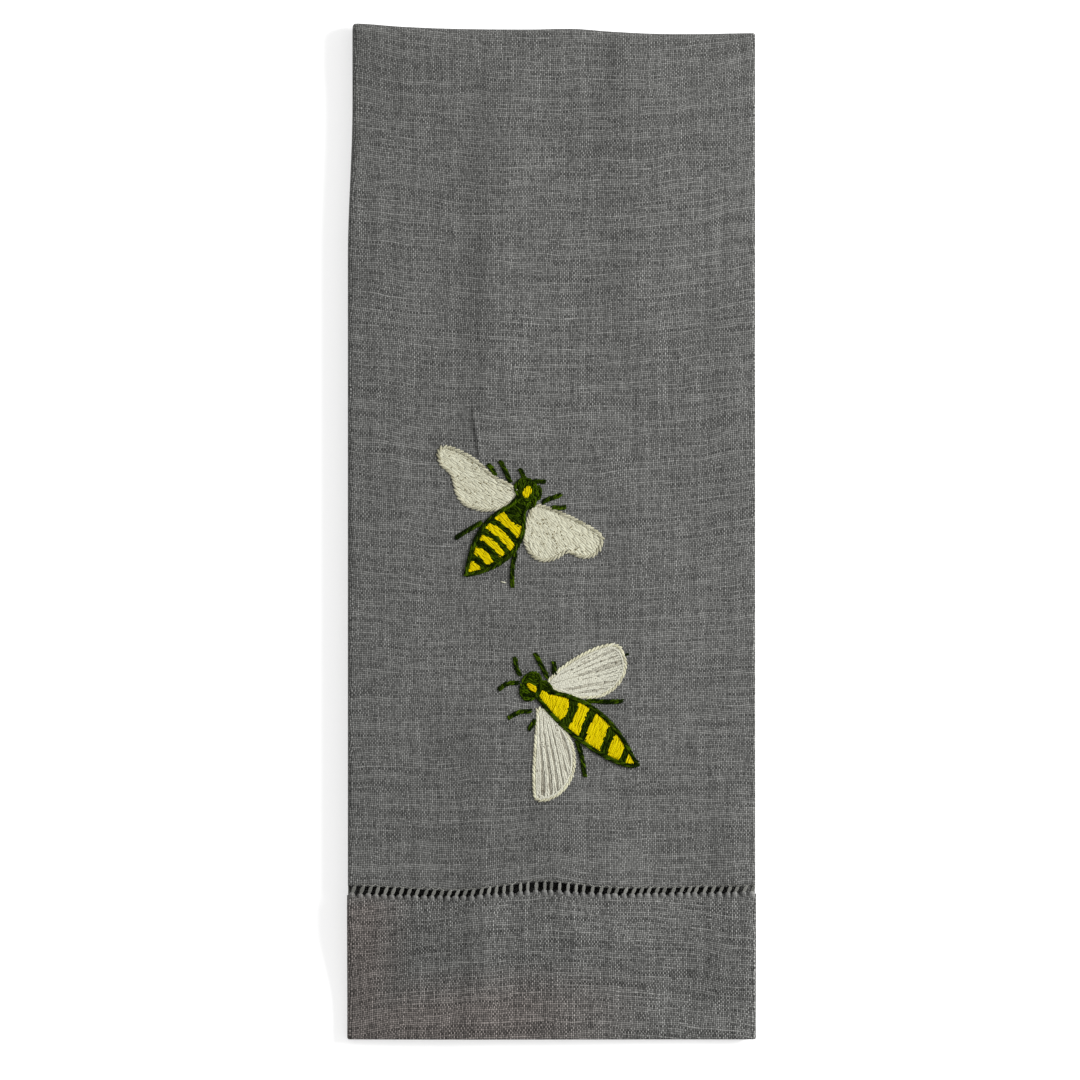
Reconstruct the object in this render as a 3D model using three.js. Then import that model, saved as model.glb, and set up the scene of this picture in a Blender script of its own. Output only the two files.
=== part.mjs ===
// A guest-size linen tea towel, folded in three lengthways and then in half, lying face up.
// The cloth is one sheet. Its side thirds are turned in behind the middle third, and the
// whole strip is then doubled at the far end, so that six layers lie on each other.
// The near end has a deep hem with a drawn-thread line above it, and two embroidered bees
// lie on the front. Millimetres, +X across, +Y towards the doubled end, +Z up.
import * as THREE from "three";

// Cloth, as cut and hemmed
const CLOTH_LENGTH = 559;
const RIGHT_THIRD = 116;
const LEFT_THIRD = 115.5;

// The folded towel
const FOLDED_WIDTH = 120;
const FOLDED_LENGTH = 298.4;
const SHEET = 1.0;
const LAYER_GAP = 0.3;
const PITCH = SHEET + LAYER_GAP;

// The near end's deep hem, and the drawn-thread line that closes it
const HEM_DEPTH = 42.9;
const HEM_SHEET = 1.35;
const LADDER_WIDTH = 2.0;
const LADDER_FACE = 0.12;
const STEP = 0.12;

// How the front lies down on the surface past the end of the shorter back
const EDGE_CLEARANCE = 2.0;
const DROP_RUN = 19;

// How much the edges stray from straight
const LEFT_TAPER = 1.5;
const TAPER_FROM = 80;
const FAR_EDGE_REACH = 34;

// Steps of the grid
const PANEL_STEPS = 18;
const RIGHT_TURN_STEPS = 4;
const LEFT_TURN_STEPS = 4;
const END_TURN_STEPS = 6;
const FRONT_STEPS = 18;
const BACK_STEPS = 9;

// Embroidery
const THREAD_GAP = 0.3;
const THREAD_EDGE = 0.35;
const THREAD_CROWN = 0.55;

// Worked out from the sizes above
const HALF_WIDTH = FOLDED_WIDTH / 2;
const NEAR_EDGE = -FOLDED_LENGTH / 2;
const FAR_EDGE = FOLDED_LENGTH / 2;
const BACK_STACK = 3 * PITCH;
const BODY_TOP = BACK_STACK + 2 * PITCH + SHEET;
const END_RADIUS = (BODY_TOP - SHEET) / 2;
const END_CENTRE = FAR_EDGE - END_RADIUS - SHEET / 2;
const BACK_RUN = CLOTH_LENGTH - (END_CENTRE - NEAR_EDGE) - Math.PI * END_RADIUS;
const BACK_EDGE = END_CENTRE - BACK_RUN;
const LADDER_LOW = NEAR_EDGE + HEM_DEPTH;
const LADDER_HIGH = LADDER_LOW + LADDER_WIDTH;
const LADDER_MIDDLE = (LADDER_LOW + LADDER_HIGH) / 2;

// Soft ridges that run down the front. Each crest starts at (x, top) and leans by lean as it
// comes down to bottom. half is the ridge's half width.
const RIDGES = [
  { x: -15.5, top: 140, bottom: 24, lean: 1.5, half: 7.5, height: 1.1 },
  { x: 35, top: 150, bottom: 62, lean: -3, half: 8.5, height: 1.0 },
  { x: 8, top: 150, bottom: 118, lean: 1, half: 6, height: 0.7 },
  { x: 57, top: 62, bottom: -104, lean: 1.5, half: 6.5, height: 1.0 },
  { x: -44, top: 88, bottom: -8, lean: 2, half: 9, height: 0.5 },
  { x: 4, top: -2, bottom: -44, lean: 1, half: 4.5, height: 0.45 },
  { x: 29, top: 6, bottom: -42, lean: -2, half: 5.5, height: 0.55 },
  { x: 0, top: -62, bottom: -146, lean: -2, half: 9.5, height: 1.2 },
  { x: 26, top: -66, bottom: -128, lean: 3, half: 7, height: 0.5 },
  { x: -41, top: -60, bottom: -112, lean: 3, half: 8, height: 0.6 },
];
const LEAST_LIFT = 0.15;
const EDGE_EASE = 9;

// The doubled end's line, and the drawn-thread line, read at a few places across
const FAR_LINE = [
  { x: -60, y: 0 },
  { x: -45, y: -1.0 },
  { x: -30, y: -1.6 },
  { x: -7, y: -1.8 },
  { x: 6, y: -1.6 },
  { x: 17, y: -2.4 },
  { x: 29, y: -3.0 },
  { x: 44, y: -3.1 },
  { x: 60, y: -2.8 },
];
const LADDER_LINE = [
  { x: -60, y: 0.1 },
  { x: -44, y: -0.4 },
  { x: -29, y: -0.7 },
  { x: -14, y: 0.3 },
  { x: -3, y: 1.2 },
  { x: 8, y: 0.6 },
  { x: 20, y: -0.2 },
  { x: 44, y: 0.1 },
  { x: 60, y: 0.5 },
];

const clamp = (v, low, high) => Math.min(high, Math.max(low, v));
const mix = (a, b, t) => a + (b - a) * t;

function smooth(low, high, v) {
  const t = clamp((v - low) / (high - low), 0, 1);
  return t * t * (3 - 2 * t);
}

// A smooth line through a table's points, level at each end.
function along(table, x) {
  const last = table.length - 1;
  if (x <= table[0].x) return table[0].y;
  if (x >= table[last].x) return table[last].y;
  let i = 0;
  while (x > table[i + 1].x) i += 1;
  const slope = (k) => {
    if (k === 0 || k === last) return 0;
    return (table[k + 1].y - table[k - 1].y) / (table[k + 1].x - table[k - 1].x);
  };
  const width = table[i + 1].x - table[i].x;
  const t = (x - table[i].x) / width;
  const rise = table[i].y * (2 * t ** 3 - 3 * t ** 2 + 1) + table[i + 1].y * (3 * t ** 2 - 2 * t ** 3);
  const turn = slope(i) * (t ** 3 - 2 * t ** 2 + t) + slope(i + 1) * (t ** 3 - t ** 2);
  return rise + turn * width;
}

// How far the front is raised off the layers below it.
function lift(x, y) {
  let sum = LEAST_LIFT;
  for (const r of RIDGES) {
    const down = (r.top - y) / (r.top - r.bottom);
    const crest = r.x + r.lean * clamp(down, 0, 1);
    const fade = 0.18 * (r.top - r.bottom);
    const reach = smooth(r.bottom - fade, r.bottom + fade, y) * smooth(r.top + fade, r.top - fade, y);
    sum += r.height * reach * Math.exp(-(((x - crest) / r.half) ** 2));
  }
  const ease = smooth(0, EDGE_EASE, HALF_WIDTH - Math.abs(x));
  return sum * mix(0.45, 1, ease);
}

// Half thickness on the cloth's face side and on its wrong side, and the layers' pitch.
function sheetAt(y) {
  if (y < LADDER_LOW) return { face: HEM_SHEET / 2, wrong: HEM_SHEET / 2, pitch: HEM_SHEET + LAYER_GAP };
  if (y < LADDER_HIGH) return { face: LADDER_FACE, wrong: SHEET / 2, pitch: PITCH };
  return { face: SHEET / 2, wrong: SHEET / 2, pitch: PITCH };
}

// Height of what lies under the front's three layers.
function underFront(y) {
  const start = BACK_EDGE - EDGE_CLEARANCE;
  return BACK_STACK * smooth(start - DROP_RUN, start, y);
}

// The middle layer line of the front's outermost layer.
function frontLine(y) {
  const s = sheetAt(y);
  return underFront(y) + 2 * s.pitch + s.wrong;
}

function topAt(y) {
  return frontLine(y) + sheetAt(y).face;
}

// Moves a point of the neat folded stack to where it lies: raised by the ridges and with
// edges that stray. Points in the lowest layer stay flat on the surface.
function settle(x, y, z) {
  const share = clamp((z - SHEET) / (topAt(y) - SHEET), 0, 1);
  const taper = LEFT_TAPER * smooth(TAPER_FROM, FAR_EDGE, y) * clamp(0.5 - x / FOLDED_WIDTH, 0, 1);
  const far = along(FAR_LINE, x) * smooth(FAR_EDGE - FAR_EDGE_REACH, FAR_EDGE, y);
  const nearShare = smooth(NEAR_EDGE, LADDER_MIDDLE, y) * smooth(LADDER_MIDDLE + 60, LADDER_MIDDLE, y);
  const ladder = along(LADDER_LINE, x) * nearShare;
  return [x + taper, y + far + ladder, z + share * lift(x, y)];
}

// Height of the front's face over a place on it.
function faceHeight(x, y) {
  return settle(x, y, topAt(y))[2];
}

// Places across the folded strip, from the right third's free edge round to the left third's.
function acrossPlaces() {
  const places = [];
  for (let i = 0; i <= PANEL_STEPS; i += 1) places.push({ part: "right", t: i / PANEL_STEPS });
  for (let i = 1; i < RIGHT_TURN_STEPS; i += 1) places.push({ part: "rightTurn", t: i / RIGHT_TURN_STEPS });
  for (let i = 0; i <= PANEL_STEPS; i += 1) places.push({ part: "middle", t: i / PANEL_STEPS });
  for (let i = 1; i < LEFT_TURN_STEPS; i += 1) places.push({ part: "leftTurn", t: i / LEFT_TURN_STEPS });
  for (let i = 0; i <= PANEL_STEPS; i += 1) places.push({ part: "left", t: i / PANEL_STEPS });
  return places;
}

// The line of one place across: x, depth below the outermost layer, and which way the face looks.
function acrossPoint(place, sheet) {
  const { pitch, face } = sheet;
  const outer = Math.max(face, SHEET / 2);
  const rightX = HALF_WIDTH - pitch / 2 - outer;
  const leftX = -(HALF_WIDTH - pitch - outer);
  const turn = (place.t - 0.5) * Math.PI;
  if (place.part === "right") return { x: mix(rightX - RIGHT_THIRD, rightX, place.t), n: pitch, mx: 0, mn: 1 };
  if (place.part === "middle") return { x: mix(rightX, leftX, place.t), n: 0, mx: 0, mn: -1 };
  if (place.part === "left") return { x: mix(leftX, leftX + LEFT_THIRD, place.t), n: 2 * pitch, mx: 0, mn: 1 };
  const side = place.part === "rightTurn" ? 1 : -1;
  const radius = side > 0 ? pitch / 2 : pitch;
  const angle = side > 0 ? -turn : turn;
  const centre = side > 0 ? rightX : leftX;
  const mx = side * Math.cos(angle);
  const mn = Math.sin(angle);
  return { x: centre + radius * mx, n: radius + radius * mn, mx, mn };
}

// Rows along the towel: down the front, round the doubled end and along the back.
function rows() {
  const made = [];
  const front = (y) => made.push({ kind: "front", y, sheet: sheetAt(y) });
  for (const share of [0, 0.28, 0.42, 0.56, 0.7, 0.85]) front(mix(NEAR_EDGE, LADDER_LOW, share));
  front(LADDER_LOW - STEP);
  front(LADDER_LOW + STEP);
  front(LADDER_HIGH - STEP);
  front(LADDER_HIGH + STEP);
  for (let i = 1; i <= FRONT_STEPS; i += 1) front(mix(LADDER_HIGH, END_CENTRE, i / FRONT_STEPS));
  for (let i = 1; i < END_TURN_STEPS; i += 1) {
    made.push({ kind: "turn", angle: (Math.PI * i) / END_TURN_STEPS, sheet: sheetAt(END_CENTRE) });
  }
  for (let i = 0; i <= BACK_STEPS; i += 1) {
    made.push({ kind: "back", y: mix(END_CENTRE, BACK_EDGE, i / BACK_STEPS), sheet: sheetAt(END_CENTRE) });
  }
  return made;
}

// A point of the stack at one row, depth n below the outermost layer.
function stackPoint(row, x, n) {
  if (row.kind === "front") return settle(x, row.y, frontLine(row.y) - n);
  if (row.kind === "back") return settle(x, row.y, SHEET / 2 + n);
  const reach = END_RADIUS - n;
  const y = END_CENTRE + reach * Math.sin(row.angle);
  const z = SHEET / 2 + END_RADIUS + reach * Math.cos(row.angle);
  return settle(x, y, z);
}

// Closes two grids of points, one on each side of a sheet, into one solid. Seen with its rows
// running up and its columns to the left, over is the nearer grid. The cut across each cell
// runs the same way over the ground in every layer, so that layers stay apart.
function sheetGeometry(under, over) {
  const rowCount = under.length;
  const columnCount = under[0].length;
  const positions = [...under.flat(), ...over.flat()].flat();
  const index = [];
  const at = (side, i, j) => side * rowCount * columnCount + i * columnCount + j;
  const point = (k) => positions.slice(3 * k, 3 * k + 3);
  const cell = (a, b, c, d) => {
    const [p, q, s] = [point(a), point(b), point(d)];
    const sameWay = (q[0] + q[1] - p[0] - p[1]) * (s[0] + s[1] - p[0] - p[1]) > 0;
    if (sameWay) index.push(a, b, c, a, c, d);
    else index.push(a, b, d, b, c, d);
  };
  for (let i = 0; i + 1 < rowCount; i += 1) {
    for (let j = 0; j + 1 < columnCount; j += 1) {
      cell(at(0, i, j), at(0, i, j + 1), at(0, i + 1, j + 1), at(0, i + 1, j));
      cell(at(1, i, j), at(1, i + 1, j), at(1, i + 1, j + 1), at(1, i, j + 1));
    }
  }
  const last = { row: rowCount - 1, column: columnCount - 1 };
  for (let j = 0; j < last.column; j += 1) {
    cell(at(0, 0, j), at(1, 0, j), at(1, 0, j + 1), at(0, 0, j + 1));
    cell(at(0, last.row, j), at(0, last.row, j + 1), at(1, last.row, j + 1), at(1, last.row, j));
  }
  for (let i = 0; i < last.row; i += 1) {
    cell(at(0, i, 0), at(0, i + 1, 0), at(1, i + 1, 0), at(1, i, 0));
    cell(at(0, i, last.column), at(1, i, last.column), at(1, i + 1, last.column), at(0, i + 1, last.column));
  }
  const geometry = new THREE.BufferGeometry();
  geometry.setAttribute("position", new THREE.Float32BufferAttribute(positions, 3));
  geometry.setIndex(index);
  geometry.computeVertexNormals();
  return geometry;
}

// The folded cloth.
function towelCloth() {
  const places = acrossPlaces();
  const side = (row, sign) => places.map((place) => {
    const line = acrossPoint(place, row.sheet);
    const out = sign > 0 ? row.sheet.face : -row.sheet.wrong;
    return stackPoint(row, line.x + out * line.mx, line.n + out * line.mn);
  });
  const all = rows();
  return sheetGeometry(all.map((row) => side(row, -1)), all.map((row) => side(row, 1)));
}

// Bees. A bee's own axis runs from its head's middle, at (x, y), towards its tail; heading is
// that direction in degrees, turned left from +X. Places along it are distances from the
// head's middle. slant is how far the bands lean. Each side of a body or a wing is a blade:
// its greatest width, and how fast it fills out from the root and closes at the tip. Ahead of
// its first band a body is at least as wide as its neck.
const BEES = [
  {
    name: "bee_upper",
    x: -7.5,
    y: 12.3,
    heading: -125.3,
    slant: 0,
    head: { along: 3.1, across: 3.5 },
    neck: { left: 3.0, right: 1.2 },
    body: { from: 5.0, to: 31.6 },
    left: { width: 8.3, rise: 0.68, fall: 0.85 },
    right: { width: 4.7, rise: 0.9, fall: 1.1 },
    bands: [
      { from: 9.3, to: 12.6 },
      { from: 14.1, to: 17.2 },
      { from: 18.6, to: 20.6 },
      { from: 22.6, to: 25.0 },
      { from: 26.7, to: 29.6 },
    ],
    wings: [
      {
        name: "wing_left",
        x: -11.6,
        y: 10.9,
        heading: 149,
        length: 25.0,
        left: { width: 9.2, rise: 0.4, fall: 0.85 },
        right: { width: 3.3, rise: 0.6, fall: 0.4 },
      },
      {
        name: "wing_right",
        x: -6.6,
        y: 4.8,
        heading: -19.7,
        length: 23.4,
        left: { width: 4.0, rise: 0.2, fall: 0.4 },
        right: { width: 7.0, rise: 0.9, fall: 0.25 },
        hind: { middle: 7.2, reach: 6.9, width: 11.5 },
      },
    ],
  },
  {
    name: "bee_lower",
    x: -6.2,
    y: -45.7,
    heading: -36.6,
    slant: -0.26,
    head: { along: 3.0, across: 4.1 },
    neck: { left: 2.6, right: 2.2 },
    body: { from: 1.5, to: 39.2 },
    left: { width: 6.9, rise: 0.95, fall: 0.75 },
    right: { width: 4.7, rise: 0.6, fall: 0.6 },
    bands: [
      { from: 3.9, to: 12.2 },
      { from: 15.9, to: 18.9 },
      { from: 21.9, to: 26.5 },
      { from: 29.6, to: 33.3 },
      { from: 35.5, to: 37.6 },
    ],
    wings: [
      {
        name: "wing_upper",
        x: -0.6,
        y: -43.9,
        heading: 18.5,
        length: 23.6,
        left: { width: 5.3, rise: 0.85, fall: 0.24 },
        right: { width: 9.0, rise: 1.15, fall: 0.75 },
      },
      {
        name: "wing_lower",
        x: -4.3,
        y: -51.8,
        heading: -87.4,
        length: 27.8,
        left: { width: 10.0, rise: 1.05, fall: 0.5 },
        right: { width: 2.4, rise: 0.8, fall: 0.2 },
      },
    ],
  },
];
const PART_GAP = 0.3;
const LEAST_HALF = 0.35;
const HEAD_STEPS = 4;
const BODY_STEP = 2.6;
const WING_STEP = 2.4;
const BODY_ACROSS = 4;
const WING_ACROSS = 6;

// How far a blade reaches to its side at t, from 0 at the root to 1 at the tip.
function blade(side, t) {
  const shape = (v) => v ** side.rise * (1 - v) ** side.fall;
  return (side.width * shape(clamp(t, 0, 1))) / shape(side.rise / (side.rise + side.fall));
}

// Half of an ellipse, read along its axis.
function bow(off, reach, width) {
  return width * Math.sqrt(Math.max(0, 1 - (off / reach) ** 2));
}

// A low crowned relief of thread on the front. left(a) and right(a) give how far it reaches to
// each side of its own axis at a. a runs from first to last, in steps that are closer together
// at the ends where round is true.
function relief({ x, y, heading, slant = 0, first, last, steps, round, across, left, right }) {
  const turn = THREE.MathUtils.degToRad(heading);
  const [c, s] = [Math.cos(turn), Math.sin(turn)];
  const row = (a, height) => {
    const made = [];
    for (let j = 0; j <= across; j += 1) {
      const w = (2 * j) / across - 1;
      const off = w * Math.max(LEAST_HALF, w < 0 ? right(a) : left(a));
      const on = a + slant * off;
      const [px, py] = [x + on * c - off * s, y + on * s + off * c];
      made.push([px, py, faceHeight(px, py) + THREAD_GAP + height(w)]);
    }
    return made;
  };
  const share = (t) => (round ? (1 - Math.cos(Math.PI * t)) / 2 : t);
  const stations = Array.from({ length: steps + 1 }, (_, i) => mix(first, last, share(i / steps)));
  const top = stations.map((a) => row(a, (w) => THREAD_EDGE + THREAD_CROWN * (1 - w * w)));
  const bottom = stations.map((a) => row(a, () => 0));
  return sheetGeometry(bottom, top);
}

function stepsFor(first, last, step) {
  return Math.max(2, Math.ceil((last - first) / step));
}

function beeHead(bee) {
  const half = (a) => bow(a, bee.head.along, bee.head.across);
  const ends = { first: -bee.head.along, last: bee.head.along, steps: HEAD_STEPS, round: true };
  return relief({ ...bee, slant: 0, ...ends, across: BODY_ACROSS, left: half, right: half });
}

// A piece of the body from one place along the bee's axis to another.
function beeSlice(bee, from, to) {
  const share = (a) => (a - bee.body.from) / (bee.body.to - bee.body.from);
  const least = (a, neck) => (a < bee.bands[0].from ? neck : 0);
  const [first, last] = [from + PART_GAP / 2, to - PART_GAP / 2];
  return relief({
    ...bee,
    first,
    last,
    steps: stepsFor(first, last, BODY_STEP),
    across: BODY_ACROSS,
    left: (a) => Math.max(least(a, bee.neck.left), blade(bee.left, share(a))),
    right: (a) => Math.max(least(a, bee.neck.right), blade(bee.right, share(a))),
  });
}

// hind adds a second wing's rounded lobe behind the first.
function beeWing(wing) {
  const lobe = (a) => (wing.hind ? bow(a - wing.hind.middle, wing.hind.reach, wing.hind.width) : 0);
  return relief({
    ...wing,
    first: 0,
    last: wing.length,
    steps: stepsFor(0, wing.length, WING_STEP),
    round: true,
    across: WING_ACROSS,
    left: (a) => blade(wing.left, a / wing.length),
    right: (a) => Math.max(blade(wing.right, a / wing.length), lobe(a)),
  });
}

const MATERIALS = {
  linen: new THREE.MeshStandardMaterial({ color: 0x6a6a68, roughness: 0.9, metalness: 0 }),
  cream: new THREE.MeshStandardMaterial({ color: 0xdcd8c6, roughness: 0.7, metalness: 0 }),
  yellow: new THREE.MeshStandardMaterial({ color: 0xe2cb06, roughness: 0.65, metalness: 0 }),
  green: new THREE.MeshStandardMaterial({ color: 0x24380e, roughness: 0.7, metalness: 0 }),
};

const towel = new THREE.Group();

function add(name, geometry, material) {
  const mesh = new THREE.Mesh(geometry, material);
  mesh.name = name;
  towel.add(mesh);
}

function addBee(bee) {
  add(`${bee.name}_head`, beeHead(bee), MATERIALS.green);
  let from = bee.head.along;
  bee.bands.forEach((band, i) => {
    const dark = i === 0 ? "thorax" : `stripe_${i}`;
    add(`${bee.name}_${dark}`, beeSlice(bee, from, band.from), MATERIALS.green);
    add(`${bee.name}_band_${i + 1}`, beeSlice(bee, band.from, band.to), MATERIALS.yellow);
    from = band.to;
  });
  add(`${bee.name}_tail`, beeSlice(bee, from, bee.body.to), MATERIALS.green);
  for (const wing of bee.wings) add(`${bee.name}_${wing.name}`, beeWing(wing), MATERIALS.cream);
}

add("towel_cloth", towelCloth(), MATERIALS.linen);
BEES.forEach(addBee);

export default towel;
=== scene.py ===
"""A folded linen tea towel with two embroidered bees, dressed over its CAD model.

The cloth is one thin sheet on the folds of the CAD solid. The hem's drawn-thread line is cut
out of it and bridged by bundles of thread, and the bees are worked stitch by stitch.
Cloth sizes are in millimetres and become metres where a mesh is made.
"""
import math
from functools import partial

import bpy
import numpy as np
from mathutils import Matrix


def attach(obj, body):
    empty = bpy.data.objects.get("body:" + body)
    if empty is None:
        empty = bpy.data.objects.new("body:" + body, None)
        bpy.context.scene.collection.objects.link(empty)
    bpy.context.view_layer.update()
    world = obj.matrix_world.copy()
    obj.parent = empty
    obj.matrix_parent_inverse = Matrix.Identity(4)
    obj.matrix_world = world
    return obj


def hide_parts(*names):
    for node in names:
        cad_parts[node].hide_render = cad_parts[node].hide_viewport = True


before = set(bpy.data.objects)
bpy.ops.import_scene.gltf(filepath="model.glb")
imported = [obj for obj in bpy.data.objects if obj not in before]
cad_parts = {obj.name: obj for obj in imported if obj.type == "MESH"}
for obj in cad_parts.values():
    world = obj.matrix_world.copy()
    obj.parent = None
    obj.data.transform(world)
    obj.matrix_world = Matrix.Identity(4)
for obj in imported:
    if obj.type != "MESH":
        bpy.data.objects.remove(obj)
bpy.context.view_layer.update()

MM = 0.001
SEED = 20
draw = np.random.default_rng(SEED)

# The cloth and its folds. Its sizes are the CAD model's, but the sheet is thinner, the drawn-thread
# line is as wide as it looks, and the front eases down to its hem more slowly.
CLOTH_LENGTH = 559.0
RIGHT_THIRD = 116.0
LEFT_THIRD = 115.5
FOLDED_WIDTH = 120.0
FOLDED_LENGTH = 298.4
SHEET = 0.5
PITCH = 1.3
HEM_DEPTH = 42.9
HEM_SHEET = 1.0
HEM_PITCH = 1.5
HEM_START_PITCH = 1.35
HEM_RISE = 8.0
LADDER_WIDTH = 2.3
FOLD_INSET = 0.5
EDGE_CLEARANCE = 2.0
DROP_RUN = 30.0
LEFT_TAPER = 1.35
TAPER_RUN = (80.0, 125.0)
FAR_EDGE_REACH = 34.0
LADDER_REACH = 60.0
CLOSING_REACH = 12.0
# The front lies on the layers below with a little air, and flatter towards its side folds
LEAST_LIFT = 0.15
EDGE_EASE = 9.0
EDGE_LIFT = 0.45

HALF_WIDTH = FOLDED_WIDTH / 2
NEAR_EDGE = -FOLDED_LENGTH / 2
FAR_EDGE = FOLDED_LENGTH / 2
BACK_STACK = 3 * PITCH
END_RADIUS = 5 * PITCH / 2
END_CENTRE = FAR_EDGE - END_RADIUS - FOLD_INSET
BACK_RUN = CLOTH_LENGTH - (END_CENTRE - NEAR_EDGE) - math.pi * END_RADIUS
BACK_EDGE = END_CENTRE - BACK_RUN
LADDER_LOW = NEAR_EDGE + HEM_DEPTH
LADDER_HIGH = LADDER_LOW + LADDER_WIDTH
LADDER_MIDDLE = (LADDER_LOW + LADDER_HIGH) / 2
RIGHT_X = HALF_WIDTH - PITCH / 2 - FOLD_INSET
LEFT_X = -(HALF_WIDTH - PITCH - FOLD_INSET)
RIGHT_TURN = math.pi * PITCH / 2
LEFT_TURN = math.pi * PITCH

# Soft ridges down the front: x, top, bottom, lean, width of the left side, of the right, height.
# Each fades out over a share of its length.
RIDGE_FADE = 0.18
RIDGES = [
    (-17, 136, 20, -1, 5.5, 13, 1.0),
    (21, 158, 50, 3, 5, 16, 0.9),
    (-30, 156, 132, 0, 50, 30, 1.5),
    (1, 152, 130, 1, 12, 7, 0.5),
    (64, 62, -146, 0, 9, 6, 2.0),
    (-47, 92, -8, 2, 8, 9, 0.4),
    (3, -2, -45, 1, 4, 9, 0.3),
    (24, 6, -75, 0, 7, 14, 0.6),
    (-19, -55, -146, -1, 6.5, 13, 1.1),
    (3, -60, -150, 1, 12, 18, 1.4),
    (19, -100, -140, 1, 6, 10, 0.4),
    (-24, -112, -150, 0, 22, 9, 0.9),
    (-30, -134, -158, 0, 24, 30, 0.9),
]
# The sharp little crease over the upper bee's left wing, in the same terms
CREASES = [(-23.2, 36, 21.5, 2.3, 0.4, 0.7, 0.45)]

# The doubled end's line, the drawn-thread line, and how much that line is drawn together, read at
# a few places across: x, y
FAR_LINE = [
    (-60, 0), (-45, -1.0), (-30, -1.6), (-7, -1.8), (6, -1.6), (17, -2.4), (29, -3.0), (44, -3.1), (60, -2.8),
]
LADDER_LINE = [
    (-60, 0.1), (-44, -0.4), (-29, -0.7), (-14, 0.3), (-3, 1.2), (8, 0.6), (20, 0.0), (44, 0.4), (60, 0.6),
]
LADDER_CLOSING = [
    (-60, 0.1), (-48, 0.2), (-38, 0.5), (-28, 0.8), (-20, 0.6), (-12, 0.2), (2, 0.0), (14, 0.6), (60, 0.8),
]


def smooth(low, high, v):
    t = np.clip((np.asarray(v, float) - low) / (high - low), 0, 1)
    return t * t * (3 - 2 * t)


def mix(a, b, t):
    return a + (b - a) * t


def toward(turn):
    return np.array([math.cos(turn), math.sin(turn)])


def left_of(way):
    return np.array([-way[1], way[0]])


def along(table, x):
    """A smooth line through a table's points, level at each end."""
    xs, ys = np.array(table, float).T
    slope = np.zeros(len(xs))
    slope[1:-1] = (ys[2:] - ys[:-2]) / (xs[2:] - xs[:-2])
    x = np.clip(x, xs[0], xs[-1])
    i = np.clip(np.searchsorted(xs, x) - 1, 0, len(xs) - 2)
    width = xs[i + 1] - xs[i]
    t = (x - xs[i]) / width
    rise = ys[i] * (2 * t**3 - 3 * t**2 + 1) + ys[i + 1] * (3 * t**2 - 2 * t**3)
    return rise + width * (slope[i] * (t**3 - 2 * t**2 + t) + slope[i + 1] * (t**3 - t**2))


def ridge_heights(table, x, y):
    total = np.zeros(np.broadcast(x, y).shape)
    for at, top, bottom, lean, left, right, height in table:
        crest = at + lean * np.clip((top - y) / (top - bottom), 0, 1)
        fade = RIDGE_FADE * (top - bottom)
        reach = smooth(bottom - fade, bottom + fade, y) * smooth(top + fade, top - fade, y)
        width = np.where(x < crest, left, right)
        total = total + height * reach * np.exp(-(((x - crest) / width) ** 2))
    return total


def lift(x, y):
    """How far the front is raised off the layers below it."""
    ease = smooth(0, EDGE_EASE, HALF_WIDTH - np.abs(x))
    soft = (LEAST_LIFT + ridge_heights(RIDGES, x, y)) * mix(EDGE_LIFT, 1, ease)
    return soft + ridge_heights(CREASES, x, y)


def hem_share(y):
    """0 on the single cloth and 1 in the hem, past a short rise from the drawn-thread line."""
    return smooth(0, HEM_RISE, LADDER_LOW - y)


def layer_pitch(y):
    return np.where(y < LADDER_MIDDLE, mix(HEM_START_PITCH, HEM_PITCH, hem_share(y)), PITCH)


def sheet_half(y):
    """Half the cloth's thickness. The hem's near edge is a rolled fold, and never quite sharp."""
    hem = HEM_SHEET / 2
    into = np.clip(1 - (y - NEAR_EDGE) / hem, 0, 1)
    rolled = hem * np.sqrt(np.maximum(1 - into**2, 0.02))
    return np.where(y < LADDER_MIDDLE, rolled, SHEET / 2)


def under_front(y):
    """How high the folded back lifts the front, which eases down past the back's edge."""
    start = BACK_EDGE - EDGE_CLEARANCE
    return BACK_STACK * smooth(start - DROP_RUN, start, y)


def front_line(y):
    """Height of the middle of the front's top layer."""
    base = np.where(y < LADDER_MIDDLE, HEM_SHEET / 2, SHEET / 2)
    return under_front(y) + 2 * layer_pitch(y) + base


def settle(x, y, z):
    """Moves points of the neat folded stack to where they lie on the surface."""
    share = np.clip((z - SHEET) / (front_line(y) - SHEET), 0, 1)
    taper = LEFT_TAPER * smooth(*TAPER_RUN, y) * np.clip(0.5 - x / FOLDED_WIDTH, 0, 1)
    far = along(FAR_LINE, x) * smooth(FAR_EDGE - FAR_EDGE_REACH, FAR_EDGE, y)
    near = smooth(NEAR_EDGE, LADDER_MIDDLE, y) * smooth(LADDER_MIDDLE + LADDER_REACH, LADDER_MIDDLE, y)
    drawn = smooth(LADDER_HIGH + CLOSING_REACH, LADDER_HIGH, y) * (y > LADDER_MIDDLE)
    ladder = along(LADDER_LINE, x) * near - along(LADDER_CLOSING, x) * drawn
    return np.stack([x + taper, y + far + ladder, z + share * lift(x, y)], axis=-1)


def face_point(x, y):
    """A place on the front's face."""
    x, y = np.broadcast_arrays(np.asarray(x, float), np.asarray(y, float))
    return settle(x, y, front_line(y) + np.where(y < LADDER_MIDDLE, HEM_SHEET / 2, SHEET / 2))


# Weave coordinates
# A weft thread isn't straight across the towel. It sags to a shallow bow above the hemstitch,
# and in the hem it crests in the middle.
BOW = 4.6
BOW_RUN = (-70, 10)
HEM_CREST = 4.1


def grain(x, y, s, v):
    bow = np.where(y < LADDER_MIDDLE, HEM_CREST, -BOW * smooth(*BOW_RUN, y))
    return np.stack(np.broadcast_arrays(s, v - bow * (1 - (x / HALF_WIDTH) ** 2)), axis=-1)


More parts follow.
